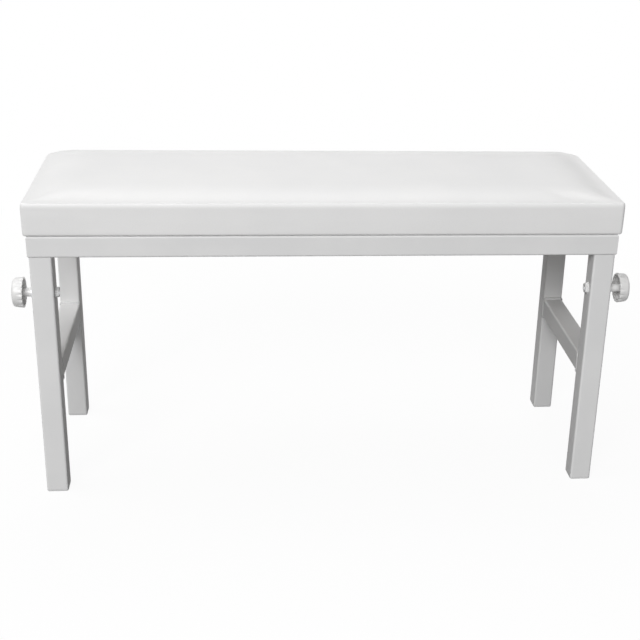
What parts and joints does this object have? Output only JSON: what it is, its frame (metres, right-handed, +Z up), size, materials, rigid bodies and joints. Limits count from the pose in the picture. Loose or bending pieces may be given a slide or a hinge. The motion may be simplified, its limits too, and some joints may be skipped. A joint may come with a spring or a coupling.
{
  "type": "portable bench",
  "caption": "Portable bench: padded vinyl seat on a square-tube frame, on H-shaped leg frames that slide on spigots and are held by clamp knobs.",
  "frame": {"origin": "on the floor under the middle of the seat, with the legs fully in", "axes": "+X along the bench, +Y from the front to the back, +Z up"},
  "size_m": [0.8534, 0.2815, 0.4395],
  "materials": {
    "vinyl": "satin",
    "foam": "matte",
    "plywood": "matte",
    "paint": "satin",
    "zinc": "satin",
    "knob_plastic": "satin",
    "foot_plastic": "matte"
  },
  "bodies": {
    "seat": {"seat_cover": "vinyl", "foam_pad": "foam", "base_board": "plywood", "cover_staples": "zinc", "t_nuts": "zinc", "pad_screws": "zinc", "pad_screw_washers": "zinc", "pad_spacers": "foot_plastic", "front_rail": "paint", "rear_rail": "paint", "left_end_rail": "paint", "right_end_rail": "paint", "centre_stretcher": "paint", "left_front_spigot": "paint", "left_rear_spigot": "paint", "right_front_spigot": "paint", "right_rear_spigot": "paint"},
    "left_leg_frame": {"left_front_leg": "paint", "left_rear_leg": "paint", "left_crossbar": "paint", "left_front_foot": "foot_plastic", "left_rear_foot": "foot_plastic", "left_clamp_nut": "paint"},
    "left_washer": {"left_clamp_washer": "zinc"},
    "left_knob": {"left_clamp_knob": "knob_plastic", "left_clamp_bolt": "zinc"},
    "right_leg_frame": {"right_front_leg": "paint", "right_rear_leg": "paint", "right_crossbar": "paint", "right_front_foot": "foot_plastic", "right_rear_foot": "foot_plastic", "right_clamp_nut": "paint"},
    "right_washer": {"right_clamp_washer": "zinc"},
    "right_knob": {"right_clamp_knob": "knob_plastic", "right_clamp_bolt": "zinc"}
  },
  "joints": [
    {"name": "left_leg_slide", "type": "slide", "parent": "seat", "child": "left_leg_frame", "axis": [0, 0, -1], "range_m": [0, 0.1]},
    {"name": "left_bolt_travel", "type": "slide", "parent": "left_leg_frame", "child": "left_washer", "axis": [-1, 0, 0], "range_m": [0, 0.005]},
    {"name": "left_knob_turn", "type": "hinge", "parent": "left_washer", "child": "left_knob", "pos_m": [-0.4016, -0.12, 0.3025], "axis": [-1, 0, 0], "range_deg": [0, 1440]},
    {"name": "right_leg_slide", "type": "slide", "parent": "seat", "child": "right_leg_frame", "axis": [0, 0, -1], "range_m": [0, 0.1]},
    {"name": "right_bolt_travel", "type": "slide", "parent": "right_leg_frame", "child": "right_washer", "axis": [1, 0, 0], "range_m": [0, 0.005]},
    {"name": "right_knob_turn", "type": "hinge", "parent": "right_washer", "child": "right_knob", "pos_m": [0.4016, -0.12, 0.3025], "axis": [1, 0, 0], "range_deg": [0, 1440]}
  ],
  "couplings": [
    {"joint": "left_bolt_travel", "follows": "left_knob_turn", "m_per_rad": 0.00019894},
    {"joint": "right_bolt_travel", "follows": "right_knob_turn", "m_per_rad": 0.00019894}
  ]
}
